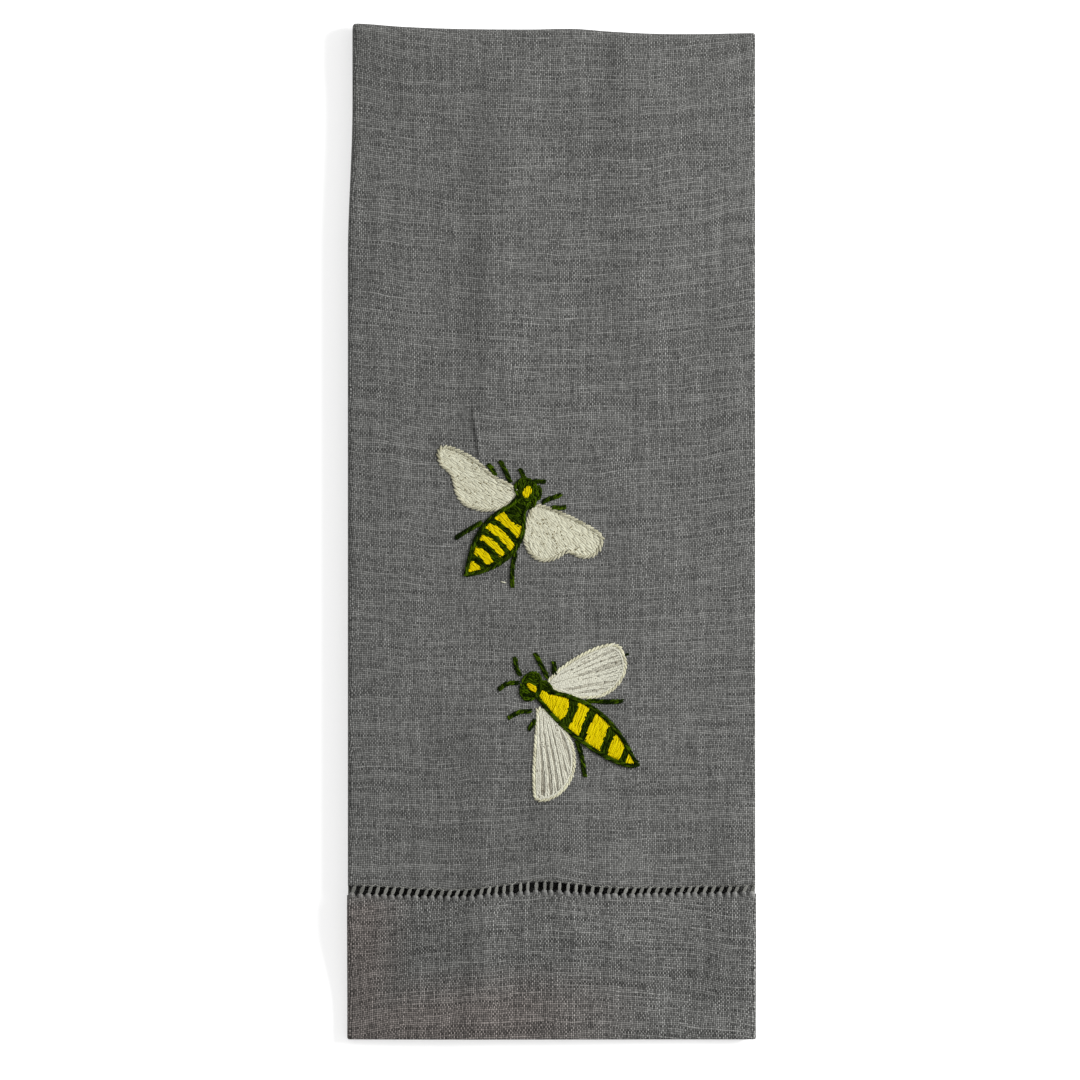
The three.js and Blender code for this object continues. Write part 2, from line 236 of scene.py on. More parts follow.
# Meshes
def new_object(name, data):
    made = bpy.data.objects.new(name, data)
    bpy.context.scene.collection.objects.link(made)
    return made


def make_mesh(name, points, faces, uv, tones, material):
    """A mesh from points in millimetres. uv and tones are given for each point."""
    mesh = bpy.data.meshes.new(name)
    mesh.from_pydata((np.asarray(points) * MM).tolist(), [], [list(map(int, f)) for f in faces])
    corners = np.empty(len(mesh.loops), dtype=np.int64)
    mesh.loops.foreach_get("vertex_index", corners)
    mesh.uv_layers.new(name="cloth").data.foreach_set("uv", np.asarray(uv, np.float32)[corners].ravel())
    mesh.attributes.new("tone", "FLOAT", "POINT").data.foreach_set("value", np.asarray(tones, np.float32))
    mesh.polygons.foreach_set("use_smooth", [True] * len(mesh.polygons))
    mesh.materials.append(material)
    piece = new_object(name, mesh)
    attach(piece, "root")
    return piece


def closed_faces(rows, columns, start):
    """Faces of a closed sheet from two grids of points. First comes the side that looks along the
    cross product of the rows' way and the columns' way."""
    grid = np.arange(rows * columns).reshape(rows, columns) + start
    first = np.stack([grid[1:, :-1], grid[1:, 1:], grid[:-1, 1:], grid[:-1, :-1]], axis=-1).reshape(-1, 4)
    second = first[:, [2, 1, 0, 3]] + grid.size
    rim = np.concatenate([grid[0, ::-1], grid[1:, 0], grid[-1, 1:], grid[-2:0:-1, -1]])
    after = np.roll(rim, -1)
    edge = np.stack([rim + grid.size, after + grid.size, after, rim], axis=-1)
    return np.concatenate([first, second, edge])


def sheet_mesh(name, sheets, material):
    """Closed sheets in one mesh. Each is given by its two sides, as grids of points, by its weave
    places and by its tone."""
    points, faces, uv, tones = [], [], [], []
    for sides, weave, tone in sheets:
        rows, columns = weave.shape[:2]
        faces.append(closed_faces(rows, columns, sum(map(len, points))))
        points += [side.reshape(-1, 3) for side in sides]
        uv += [weave.reshape(-1, 2)] * 2
        tones.append(np.full(2 * rows * columns, tone))
    return make_mesh(name, *map(np.concatenate, (points, faces, uv, tones)), material)


def tube_mesh(name, tubes, lengths, tones, material):
    """Closed tubes of thread in one mesh. tubes has the points of each tube's rings, lengths says
    how far along its thread each ring is, and each tube has its tone."""
    shape = tubes.shape[:3]
    grid = np.arange(shape[1] * shape[2]).reshape(shape[1:])
    after = np.roll(grid, -1, axis=1)
    wall = np.stack([grid[:-1], after[:-1], after[1:], grid[1:]], axis=-1).reshape(-1, 4)
    faces = []
    for start in range(0, shape[0] * grid.size, grid.size):
        faces += [*(wall + start), grid[0, ::-1] + start, grid[-1] + start]
    along_thread = np.broadcast_to(lengths[..., None], shape)
    round_thread = np.broadcast_to(np.arange(shape[2]) / shape[2], shape)
    uv = np.stack([along_thread, round_thread], axis=-1).reshape(-1, 2)
    tones = np.broadcast_to(np.reshape(tones, (-1, 1, 1)), shape).ravel()
    return make_mesh(name, tubes.reshape(-1, 3), faces, uv, tones, material)


def fine_places(low, high, step, spots=()):
    """Places from low to high, step apart, and closer together in each (from, to, step) spot."""
    places = [low]
    while places[-1] < high - 1e-6:
        near = [s for a, b, s in spots if a <= places[-1] < b]
        places.append(min(high, places[-1] + (near[0] if near else step)))
    if places[-1] - places[-2] < 0.2 * step:
        places.pop(-2)
    return np.array(places)


# How far the hem's edge is drawn down between its pads
PAD_GAP = 0.55

# Grid of the cloth
PANEL_STEP = 1.45
ROW_STEP = 1.5
HIDDEN_STEP = 6.0
TURN_STEPS = 7
END_TURN_STEPS = 12
HEM_TURN_STEPS = 4
CREASE_SPOT = (-25.5, -19.5, 0.25)

# A side fold is pressed a little squarer than round, so it stays flat almost to its edge. 1 is
# round, and less is squarer.
FOLD_POWER = 0.55


def fold_turn(angle):
    """A place on a side fold's section, across and down, and the way its face looks there."""
    place = toward(angle)
    face = np.sign(place) * np.abs(place) ** (2 - FOLD_POWER)
    return [*(np.sign(place) * np.abs(place) ** FOLD_POWER), *(face / np.linalg.norm(face))]


def across_lines():
    """Places across the cloth, from the right third's free edge round to the left third's: x,
    depth n below the outermost layer, the face's direction (mx, mn), and flat distance s."""
    hidden = np.linspace(0, 1, int(RIGHT_THIRD / HIDDEN_STEP) + 1)
    turning = np.linspace(0, 1, TURN_STEPS + 2)[1:-1]
    panel = fine_places(LEFT_X, RIGHT_X, PANEL_STEP, [CREASE_SPOT])[::-1]
    lines = [(RIGHT_X - RIGHT_THIRD * (1 - t), 1, 0.0, 1.0, RIGHT_THIRD * t) for t in hidden]
    for t in turning:
        out, down, mx, mn = fold_turn(math.pi * (0.5 - t))
        lines.append((RIGHT_X + PITCH / 2 * out, 0.5 + 0.5 * down, mx, mn, RIGHT_THIRD + RIGHT_TURN * t))
    start = RIGHT_THIRD + RIGHT_TURN
    lines += [(x, 0, 0.0, -1.0, start + RIGHT_X - x) for x in panel]
    start += RIGHT_X - LEFT_X
    for t in turning:
        out, down, mx, mn = fold_turn(math.pi * (t - 0.5))
        lines.append((LEFT_X - PITCH * out, 1 + down, -mx, mn, start + LEFT_TURN * t))
    start += LEFT_TURN
    lines += [(LEFT_X + LEFT_THIRD * t, 2, 0.0, 1.0, start + LEFT_THIRD * t) for t in hidden]
    return np.array(lines).T


LINES = across_lines()


def rows_of_cloth(pitch, half, place, y, v):
    """The cloth's two sides, along rows of its lines, and their weave places. place tells y and z
    from how deep in the stack a point lies, and y and v say where on the cloth each row is."""
    x, depth, mx, mn, s = LINES
    sides = []
    for sign in (1, -1):
        across = x + sign * half * mx
        sides.append(settle(*np.broadcast_arrays(across, *place(depth * pitch + sign * half * mn))))
    return sides, grain(x, y, s, v)


def front_rows(places):
    """Rows across the front and the layers turned in behind it."""
    y = places[:, None]
    line = front_line(y)
    return rows_of_cloth(layer_pitch(y), sheet_half(y), lambda depth: (y, line - depth), y, y - NEAR_EDGE)


def end_rows():
    """Rows round the doubled end and along the back, to the back's plain hem."""
    angles = np.linspace(0, math.pi, END_TURN_STEPS + 1)[1:-1, None]
    back = np.linspace(END_CENTRE, BACK_EDGE, int(BACK_RUN / HIDDEN_STEP) + 1)[:, None]
    half = SHEET / 2

    def place(depth):
        reach = END_RADIUS - depth
        y = [END_CENTRE + reach * np.sin(angles), back + 0 * depth]
        z = [half + END_RADIUS + reach * np.cos(angles), half + depth + 0 * back]
        return np.concatenate(y), np.concatenate(z)

    turned = END_CENTRE - NEAR_EDGE + END_RADIUS * angles
    doubled = END_CENTRE - NEAR_EDGE + math.pi * END_RADIUS + (END_CENTRE - back)
    far = np.concatenate([0 * angles + FAR_EDGE, back])
    return rows_of_cloth(PITCH, half, place, far, np.concatenate([turned, doubled]))


def cloth_mesh(material):
    """The whole cloth: the hem and the rest, parted by the drawn-thread line."""
    near = HEM_SHEET / 2
    rolled = NEAR_EDGE + near * (1 - np.cos(np.linspace(0, math.pi / 2, HEM_TURN_STEPS + 1)))
    hem = np.concatenate([rolled, fine_places(NEAR_EDGE + near, LADDER_LOW - PAD_GAP, ROW_STEP)[1:]])
    front, weave = front_rows(fine_places(LADDER_HIGH, END_CENTRE, ROW_STEP))
    end, end_weave = end_rows()
    rest = [np.concatenate(pair) for pair in zip(front, end)], np.concatenate([weave, end_weave])
    return sheet_mesh("linen_cloth", [(*front_rows(hem), 0.0), (*rest, 0.0)], material)


# Materials
def linear(code):
    """An sRGB hex colour as linear red, green and blue."""
    parts = [int(code[i : i + 2], 16) / 255 for i in (0, 2, 4)]
    return [p / 12.92 if p <= 0.04045 else ((p + 0.055) / 1.055) ** 2.4 for p in parts] + [1.0]


def add_node(tree, kind, inputs=(), operation=None, **settings):
    """Adds a node with its settings. inputs gives its sockets, in order or by name, a value,
    another node, which is linked by its first output, or one of another node's outputs."""
    made = tree.nodes.new("ShaderNode" + kind)
    if operation:
        made.operation = operation
    for name, value in settings.items():
        setattr(made, name, value)
    for key, value in inputs.items() if isinstance(inputs, dict) else enumerate(inputs):
        if isinstance(value, bpy.types.Node):
            value = value.outputs[0]
        if isinstance(value, bpy.types.NodeSocket):
            tree.links.new(value, made.inputs[key])
        else:
            made.inputs[key].default_value = value
    return made


def new_material(name):
    """A new material, and add_node for its own nodes."""
    made = bpy.data.materials.new(name)
    made.use_nodes = True
    made.node_tree.nodes.clear()
    return made, partial(add_node, made.node_tree)


# The weave, in millimetres: thread spacing, how far the threads wander and over what length, and
# the reed's bands
WARP_PITCH = 0.505
WEFT_PITCH = 0.60
WANDER = 3.0
WANDER_RUN = 14.3
BAND_WIDTH = 2.5
BAND_LENGTH = 50.0
# From one of a thread's slubs to the next, in crossings, which is about 20 mm. The step between
# two threads only keeps their slubs from being alike.
SLUB_RUN = 38.5
THREAD_STEP = 7.31
# A set of threads: its darkest and lightest slubs, and how much a thread's own shade adds
WARP_SHADES = (1.03, 2.0, 0.28)
WEFT_SHADES = (0.49, 1.66, 0.36)
# How much paler the pads are painted than the woven thread: painted light where the raised pads
# catch it, with no painted shade between their tightly drawn threads
PAD_PAINTED_LIGHT = 1.6
# Map ranges, each told by its from and to, and then by what those become, if not 0 and 1
SLUBS = (0.42, 0.74)
GAPS = (0.3, 1.4, 0.12, 1.25)
LOOSE_CROSSINGS = (0.0, 0.6, 0.6, 1.15)
REED_DENSITY = (0.3, 0.7, 0.985, 1.015)
# On the flat cloth, up from its near edge: the hem, and its brown edge. Then across the cloth: where
# the hem is browner down its left side, and where its left half's edge is.
HEM_RANGE = (44.0, 38.0)
BROWN_EDGE = (19.0, 6.0)
BROWN_SIDE = (217.0, 230.0)
BROWN_HALF = (145.0, 185.0)


def woven_linen():
    """Grey flax in a plain weave of slubby thread. Each thread is its own shade, swells into
    paler slubs and thins out again. The eye sees a fine uneven check with light streaks both
    ways, and a matt, dry face."""
    material, add = new_material("linen, grey, plain woven")
    place = add("UVMap", uv_map="cloth")
    noise = add("TexNoise", {"Vector": place, "Scale": 1 / WANDER_RUN, "Detail": 5.0})
    shift = add("VectorMath", (noise.outputs["Color"], (0.5, 0.5, 0.5)), "SUBTRACT")
    moved = add("VectorMath", (shift, (WANDER,) * 3, place), "MULTIPLY_ADD")
    threads = add("VectorMath", (moved, (WARP_PITCH, WEFT_PITCH, 1.0)), "DIVIDE")
    warp, weft, _ = add("SeparateXYZ", [threads]).outputs

    def thread(across, along, seed, dark, light, spread):
        """One set of threads: which one it is, its shade, and its profile as a signed wave."""
        count = add("Math", [across], "FLOOR")
        own = add("TexWhiteNoise", {"W": count}, noise_dimensions="1D")
        line = add("CombineXYZ", (count, along, seed))
        run = add("VectorMath", (line, (THREAD_STEP, 1 / SLUB_RUN, 1.0)), "MULTIPLY")
        slub = add("TexNoise", {"Vector": run, "Scale": 1.0, "Detail": 4.0, "Roughness": 0.62})
        swell = add("MapRange", (slub, *SLUBS, dark, light))
        shade = add("Math", (own, spread, swell), "MULTIPLY_ADD")
        half_turn = add("Math", (across, math.pi), "MULTIPLY")
        return count, shade, add("Math", [half_turn], "SINE")

    warp_count, warp_shade, warp_wave = thread(warp, weft, 3.7, *WARP_SHADES)
    weft_count, weft_shade, weft_wave = thread(weft, warp, 11.3, *WEFT_SHADES)

    # The warp is on top at one crossing and the weft at the next
    check = add("Math", (warp_wave, weft_wave), "MULTIPLY")
    warp_round = add("Math", [warp_wave], "ABSOLUTE")
    weft_round = add("Math", [weft_wave], "ABSOLUTE")
    warp_height = add("Math", (check, 0.5, warp_round), "MULTIPLY_ADD")
    weft_height = add("Math", (check, -0.5, weft_round), "MULTIPLY_ADD")
    height = add("Math", (warp_height, weft_height), "MAXIMUM")
    on_top = add("Math", (warp_height, weft_height), "GREATER_THAN")
    shade = add("Mix", {"Factor": on_top, "A": weft_shade, "B": warp_shade})

    # Light is lost between the threads, and more so at a crossing here and there
    cell = add("TexWhiteNoise", [add("CombineXYZ", (warp_count, weft_count))])
    loose = add("MapRange", (cell, *LOOSE_CROSSINGS))
    gap = add("MapRange", (height, *GAPS))
    open_shade = add("Math", (gap, loose), "MULTIPLY")

    # The reed packs the warp a little closer in some bands than in others
    reed = add("VectorMath", (place, (BAND_WIDTH, BAND_LENGTH, 1.0)), "DIVIDE")
    bands = add("TexNoise", {"Vector": reed, "Scale": 1.0, "Detail": 2.0})
    density = add("MapRange", (bands, *REED_DENSITY))

    # The hem is a little browner down its left side and along the left half of its near edge
    from_right, from_edge, _ = add("SeparateXYZ", [place]).outputs
    in_hem = add("MapRange", (from_edge, *HEM_RANGE))
    left_side = add("MapRange", (from_right, *BROWN_SIDE))
    left_half = add("MapRange", (from_right, *BROWN_HALF))
    by_edge = add("MapRange", (from_edge, *BROWN_EDGE))
    along_edge = add("Math", (left_half, by_edge), "MULTIPLY")
    browner = add("Math", (left_side, along_edge), "MAXIMUM")
    brown = add("Math", (in_hem, browner), "MULTIPLY")
    tint = add("Mix", {"Factor": brown, "A": linear("656563"), "B": linear("67625F")}, data_type="RGBA")

    # The hem lies double and flat, and its weave's contrast is raised there, so the painted shade in
    # its gaps is a little deeper
    woven = add("Math", (shade, open_shade), "MULTIPLY")
    depth = add("Math", (in_hem, 0.2, 1.0), "MULTIPLY_ADD")
    woven = add("Math", (woven, depth), "POWER")

    # The hemstitch's pads are painted paler and more even: painted light where the raised pads
    # catch it, and less painted shade between their tightly drawn threads. Their tone says how
    # much, and the cloth's is 0.
    tone = add("Attribute", attribute_name="tone").outputs["Fac"]
    woven_or_lit_pad = add("Mix", {"Factor": tone, "A": woven, "B": PAD_PAINTED_LIGHT})
    strength = add("Math", (woven_or_lit_pad, density), "MULTIPLY")
    colour = add("VectorMath", {0: tint.outputs["Result"], "Scale": strength}, "SCALE")
    bump = add("Bump", {"Height": height, "Strength": 0.7, "Distance": 0.00012})
    finish = {"Base Color": colour, "Normal": bump, "Roughness": 0.9, "IOR": 1.53, "Specular IOR Level": 0.1}
    add("OutputMaterial", {"Surface": add("BsdfPrincipled", finish)})
    return material


# From one turn of a thread's twist to the next, in millimetres
TWIST = 0.55


def twisted_thread(name, light, dark, rough=0.6, sheen=0.0, gloss=0.05):
    """Thread of cotton or linen. Its plies wind round each other, painted a little darker in the
    grooves between them and lighter on their crests as painted shade and light, and each stitch
    is a little lighter or darker than the next. Its fibres shade one another, so it shines less
    than its IOR says."""
    material, add = new_material(name)
    flat = add("SeparateXYZ", [add("UVMap", uv_map="cloth")])
    tone = add("Attribute", attribute_name="tone")
    turn = add("Math", (flat, 1 / TWIST, flat.outputs[1]), "MULTIPLY_ADD")
    angle = add("Math", (turn, 2 * math.pi), "MULTIPLY")
    wave = add("Math", [angle], "SINE")
    # The twist's wave paints shade into the grooves between the plies and light onto their crests
    strand = add("Math", (wave, 0.12, tone.outputs["Fac"]), "MULTIPLY_ADD")
    ends = {"Factor": strand, "A": linear(dark), "B": linear(light)}
    colour = add("Mix", ends, data_type="RGBA", clamp_factor=True)
    bump = add("Bump", {"Height": wave, "Strength": 0.35, "Distance": 0.00005})
    finish = {"Base Color": colour.outputs["Result"], "Normal": bump, "Roughness": rough, "IOR": 1.53}
    finish |= {"Specular IOR Level": gloss, "Sheen Weight": sheen}
    add("OutputMaterial", {"Surface": add("BsdfPrincipled", finish)})
    return material


# Stitches
# Rows of stitches: from one row to the next, a stitch's length, width and height, how far it lies
# above the cloth, its shade, where 0 is dark and 1 is light, how much that varies, and how many
# degrees it may turn from its row
WING_GROUND = (0.5, 6.0, 0.95, 0.14, 0.0, 0.6, 0.08, 0)
# Under the braids the rows are worked darker: partly their own darker beige, partly painted shade in the gaps
# between the braids
WING_UNDER_BRAIDS = (0.5, 3.4, 0.56, 0.2, 0.06, 0.5, 0.12, 0)
WING_SATIN = (0.46, 2.8, 0.66, 0.17, 0.06, 0.72, 0.08, 7)
WING_TOP_SATIN = (0.6, 2.8, 0.74, 0.17, 0.1, 0.84, 0.1, 12)
LOBE_GROUND = (0.4, 5.0, 0.9, 0.2, 0.0, 0.15, 0.1, 0)
LOBE_TOP = (0.46, 1.8, 0.5, 0.42, 0.12, 0.4, 0.35, 30)
BODY_GROUND = (0.5, 6.0, 0.9, 0.16, 0.0, 0.12, 0.1, 0)
STRIPE = (0.42, 2.0, 0.52, 0.34, 0.12, 0.3, 0.25, 20)
TAIL = (0.4, 1.8, 0.5, 0.36, 0.12, 0.35, 0.25, 20)
BAND = (0.29, 5.0, 0.5, 0.32, 0.16, 0.6, 0.15, 3)
FACE_PATCH = (0.34, 3.0, 0.46, 0.3, 0.42, 0.6, 0.2, 0)
# Stem stitches: from one stitch to the next, then the same, and last how far a stitch's ends lie
# to either side of its line, as a share of its width
BRAIDED_WING_RIM = (1.1, 3.0, 0.56, 0.3, 0.12, 0.85, 0.1, 0.3)
BRAIDED_WING_EDGE = (1.3, 2.2, 0.72, 0.36, 0.08, 0.66, 0.18, 0.6)
SATIN_WING_EDGE = (1.3, 2.2, 0.72, 0.36, 0.08, 0.66, 0.18, 0.8)
LOBE_RIM = (0.8, 1.6, 0.56, 0.46, 0.16, 0.42, 0.38, 0.4)
BODY_RIM = (1.05, 2.1, 0.6, 0.46, 0.3, 0.31, 0.4, 0.5)
LEG = (1.15, 1.9, 0.72, 0.5, 0.0, 0.22, 0.38, 0.4)
# Braids: degrees from one row to the next, a stitch's width and height, how far it lies above the
# cloth, its shade and how much that varies. Then the least and most of a stitch's length, of the
# way to the next and of how far the two files open, and how much more they open at the wing's tip.
BRAID = (3.1, 0.6, 0.28, 0.12, 0.88, 0.1)
BRAID_LENGTHS = (1.9, 2.7)
BRAID_STEPS = (1.0, 1.5)
BRAID_OPENINGS = (0.2, 0.42)
BRAID_TIP_OPENING = 0.45
BRAID_SWAY = 0.16
# The braids fan out from this far behind a wing's root, and the widest wing has this many to each
# side of its middle
BRAID_APEX = 14
BRAIDS_ASIDE = 12
BRAID_STRAY = 0.16
# Worked by hand, no row or stitch is quite in line or of one size
ROW_STRAY = 0.05
STITCH_STRAY = 0.04
STEM_STRAY = 0.03
STAGGER = 0.7
LENGTHS = (0.75, 1.25)
NEXT_START = 0.88
STEM_SIZES = (0.9, 1.1)
WIDTHS = (0.85, 1.15)
HEIGHTS = (0.8, 1.2)

STITCH_RINGS = 6
STITCH_SIDES = 6
# How blunt a stitch's ends are, and how full it is: less is fuller
BLUNT_END = 0.04
FULLNESS = 0.45


class Stitches:
    """Stitches of one thread, gathered into one mesh. Each runs from (x0, y0) to (x1, y1) on
    the front's face, arches up between its ends and has its own shade."""

    def __init__(self, name, material):
        self.name = name
        self.material = material
        self.rows = []

    def add(self, *stitch):
        """stitch is x0, y0, x1, y1, width, height, above and tone."""
        self.rows.append(stitch)

    def build(self):
        x0, y0, x1, y1, width, height, above, tone = np.array(self.rows).T[:, :, None]
        t = np.linspace(0, 1, STITCH_RINGS)
        length = np.hypot(x1 - x0, y1 - y0)
        dx, dy = (x1 - x0) / length, (y1 - y0) / length
        body = np.sin(math.pi * np.clip(t, BLUNT_END, 1 - BLUNT_END)) ** FULLNESS
        angle = 2 * math.pi * np.arange(STITCH_SIDES) / STITCH_SIDES
        side = (0.5 * width * body)[..., None] * np.cos(angle)
        up = (height * body)[..., None] * (0.5 + 0.5 * np.sin(angle))
        x, y, z = np.moveaxis(face_point(x0 + (x1 - x0) * t, y0 + (y1 - y0) * t)[..., None, :], -1, 0)
        points = [x - dy[..., None] * side, y + dx[..., None] * side, z + above[..., None] + up]
        return tube_mesh(self.name, np.stack(points, axis=-1), length * t, tone, self.material)


def tone_around(middle, spread):
    return float(np.clip(draw.normal(middle, spread), 0, 1))


# A stitched area is told by its closed outline
def crossings(outline, origin, direction):
    """Where a line through origin enters and leaves the area, as distances along it."""
    a, b = outline, np.roll(outline, -1, axis=0)
    normal = left_of(direction)
    da, db = (a - origin) @ normal, (b - origin) @ normal
    cut = (da > 0) != (db > 0)
    t = da[cut] / (da[cut] - db[cut])
    hit = a[cut] + (b[cut] - a[cut]) * t[:, None]
    return np.sort((hit - origin) @ direction)


def fill(outline, stitches, heading, rows, fan=0.0, shade=0.0):
    """Rows of stitches at heading degrees, end to end with staggered starts. fan turns the
    outer rows by so many degrees, and shade is added to the rows' own."""
    pitch, length, width, height, above, tone, spread, turn = rows
    middle = outline.mean(axis=0)
    cross = left_of(toward(math.radians(heading)))
    reach = (outline - middle) @ cross
    low, high = reach.min(), reach.max()
    for off in np.arange(low + pitch / 2, high, pitch):
        lean = math.radians(heading + fan * (2 * (off - low) / (high - low) - 1))
        way = toward(lean)
        origin = middle + cross * (off + draw.normal(0, ROW_STRAY))
        hits = crossings(outline, origin, way)
        for start, end in zip(hits[::2], hits[1::2]):
            at = start - draw.uniform(0, STAGGER) * length
            while at < end:
                run = length * draw.uniform(*LENGTHS)
                a, b = max(start, at), min(end, at + run)
                at += run * NEXT_START
                if b - a < 0.35 * width + 0.25:
                    continue
                wag = math.radians(turn * draw.uniform(-1, 1))
                aim = toward(lean + wag) * (b - a) / 2
                centre = origin + way * (a + b) / 2 + draw.normal(0, STITCH_STRAY, 2)
                wide, tall = width * draw.uniform(*WIDTHS), height * draw.uniform(*HEIGHTS)
                stitch_tone = tone_around(tone + shade, spread)
                stitches.add(*(centre - aim), *(centre + aim), wide, tall, above, stitch_tone)


def braids(outline, stitches, apex, heading, shade):
    """Braided rows that fan out from apex: two files of short slanting stitches side by side,
    worked by eye and so never quite even. shade is added to their own."""
    step, width, height, above, tone, spread = BRAID
    for k in range(-BRAIDS_ASIDE, BRAIDS_ASIDE + 1):
        way = toward(math.radians(heading + (k + draw.normal(0, BRAID_STRAY)) * step))
        side = left_of(way)
        hits = crossings(outline, apex, way)
        for start, end in zip(hits[::2], hits[1::2]):
            wave = draw.uniform(0, 2 * math.pi)
            at = start + draw.uniform(0.0, 0.8)
            while at < end - 0.9:
                sway = side * BRAID_SWAY * math.sin(wave + at / 3.5)
                by_tip = BRAID_TIP_OPENING * float(smooth(end - 6, end - 1, at))
                for sign in (-1, 1):
                    a = apex + way * (at + 0.3 * sign) + sway + side * sign * draw.uniform(0.0, 0.12)
                    opening = draw.uniform(*BRAID_OPENINGS) + by_tip
                    b = a + way * min(draw.uniform(*BRAID_LENGTHS), end - at) + side * sign * opening
                    stitches.add(*a, *b, width, height, above, tone_around(tone + shade, spread))
                at += draw.uniform(*BRAID_STEPS)


def needle_hole_shade(outline, stitches, count, above):
    """Painted shade: small dark specks where the needle went in between the stitches, made as
    short dark stitches on top.
    """
    low, high = outline.min(axis=0), outline.max(axis=0)
    for spot in draw.uniform(low, high, (count, 2)):
        hits = crossings(outline, np.array([low[0] - 1, spot[1]]), np.array([1.0, 0.0]))
        if np.searchsorted(hits, spot[0] - low[0] + 1) % 2:
            aim = draw.uniform(-0.3, 0.3, 2)
            stitches.add(*(spot - aim), *(spot + aim + 0.02), 0.3, 0.2, above, 0.0)


def border(outline, stitches, stem, inset=0.0):
    """Stem stitches round the outline."""
    stem_line(stitches, np.vstack([outline, outline[:1]]), stem, inset)


def stem_line(stitches, path, stem, inset):
    """Stem stitches along a path of points, each overlapping the one before on the slant. inset
    moves them to the path's left."""
    pitch, length, width, height, above, tone, spread, slant = stem
    path = np.asarray(path, float)
    gaps = np.hypot(*np.diff(path, axis=0).T)
    path = path[np.append(gaps > 1e-6, True)]
    gaps = np.hypot(*np.diff(path, axis=0).T)
    run = np.concatenate([[0], np.cumsum(gaps)])

    def at(distance):
        d = min(max(distance, 0), run[-1])
        i = min(int(np.searchsorted(run, d, side="right")) - 1, len(gaps) - 1)
        way = (path[i + 1] - path[i]) / gaps[i]
        side = left_of(way)
        return path[i] + way * (d - run[i]) + side * inset, side

    for start in np.arange(0, max(run[-1] - 0.5 * length, 0.1), pitch):
        p, side_p = at(start)
        q, side_q = at(start + length * draw.uniform(*STEM_SIZES))
        if np.hypot(*(q - p)) < 0.3:
            continue
        p = p - side_p * slant * width + draw.normal(0, STEM_STRAY, 2)
        q = q + side_q * slant * width + draw.normal(0, STEM_STRAY, 2)
        stitches.add(*p, *q, width * draw.uniform(*STEM_SIZES), height, above, tone_around(tone, spread))


# Bees
def blade(side, t):
    """How far a side of a body or wing reaches at t, from 0 at the root to 1 at the tip."""
    width, rise, fall = side
    t = np.clip(t, 0, 1)
    peak = rise / (rise + fall)
    return width * t**rise * (1 - t) ** fall / (peak**rise * (1 - peak) ** fall)


def bow_out(off, reach, width):
    return width * np.sqrt(np.maximum(0, 1 - (off / reach) ** 2))


def area_along(x, y, heading, stations, left, right, slant=0.0, bows=(0.0, 0.0)):
    """The area round an axis, outlined down its left side, over its far end, up its right side and
    over its near end. bows is how far the middle of the near and the far end is moved along."""
    way = toward(math.radians(heading))
    side = left_of(way)
    over = np.linspace(1, -1, 9)[1:-1]

    def edge(a, off, bow=0.0):
        on = a + slant * off + bow
        return np.array([x, y]) + on[:, None] * way + off[:, None] * side

    def end(i):
        return edge(stations[i], mix(-right[i], left[i], (1 + over) / 2), bows[i] * (1 - over**2))

    return np.vstack([edge(stations, left), end(-1), edge(stations, -right)[::-1], end(0)[::-1]])


def round_stations(first, last, count=40):
    return mix(first, last, (1 - np.cos(np.linspace(0, math.pi, count))) / 2)


# at is x, y and heading in degrees, of a body from its head's middle, or of a wing from its root.
# head is half the head's length, half its width and its own turn. body is where the body's shape
# starts and ends, and left and right are its sides: width, rise and fall. neck and tail are its
# least left and right reach, neck as far as its third number.
# A band is told by its start and end along the body, its trim at the left and right, and how far its
# two edges bow towards the tail. Knobs are small dark lobes. They and the face are told by x, y,
# heading, half length and half width. The lower bee's last leg is only a thread's end.
# A wing's hind lobe is told by its middle, half length and width, and a dip in its edge by its side,
# place, spread and depth. stitch is its stitches' heading, and fan how far that turns.
UPPER_BEE = dict(
    name="bee_upper", at=(-7.5, 12.3, -125.3), slant=0.1, head=(2.8, 3.2, 0), body=(4.4, 31.4),
    left=(8.3, 0.6, 0.9), right=(4.45, 1.0, 1.1), neck=(3.9, 1.3, 9.0), tail=(0.3, 0.3),
    bands=[
        (9.0, 12.6, 1.2, 0.8, 0.9, -0.3),
        (14.7, 17.0, 1.3, 1.0, -0.9, -0.8),
        (18.5, 20.2, 2.0, 1.6, -0.8, -0.6),
        (22.4, 24.4, 2.1, 1.5, -0.7, -0.2),
        (26.4, 29.4, 1.6, 1.1, -0.2, 0.0),
    ],
    knobs=[(-4.3, 11.2, 86, 2.0, 1.1), (-6.3, 8.6, -110, 2.0, 1.5)],
    wings=[
        dict(
            name="wing_left", at=(-10.2, 9.9, 149), length=27.0,
            left=(10.0, 0.6, 0.75), right=(3.75, 0.3, 0.3),
            dips=[("left", 19.8, 3.8, 3.3), ("right", 9.0, 5.5, 1.6)],
            stitch=-33, fan=5, braided=False, shade=0.0,
        ),
        dict(
            name="wing_right", at=(-6.8, 5.0, -19.7), length=23.5,
            left=(3.95, 0.1, 0.4), right=(7.1, 1.2, 0.38), hind=(7.4, 7.9, 12.0),
            stitch=-52, fan=14, braided=False, shade=0.0,
        ),
    ],
    face=(-7.2, 11.4, 72, 1.95, 1.1),
    legs=[
        [(-7.9, 15.1), (-8.4, 16.6), (-9.4, 18.4)], [(-6.2, 14.2), (-4.6, 14.7), (-1.6, 14.3)],
        [(-12.0, 14.0), (-13.2, 17.0), (-15.2, 20.7)], [(-16.4, 16.0), (-17.4, 18.3), (-18.8, 19.7)],
        [(-3.0, 8.3), (-0.4, 9.5), (3.2, 10.7)], [(-0.3, 7.0), (2.0, 6.7), (4.4, 7.0)],
        [(-20.3, 2.6), (-24.2, 0.4), (-28.4, -2.2)], [(-10.4, -6.0), (-11.5, -10.0), (-11.6, -16.7)],
    ],
)
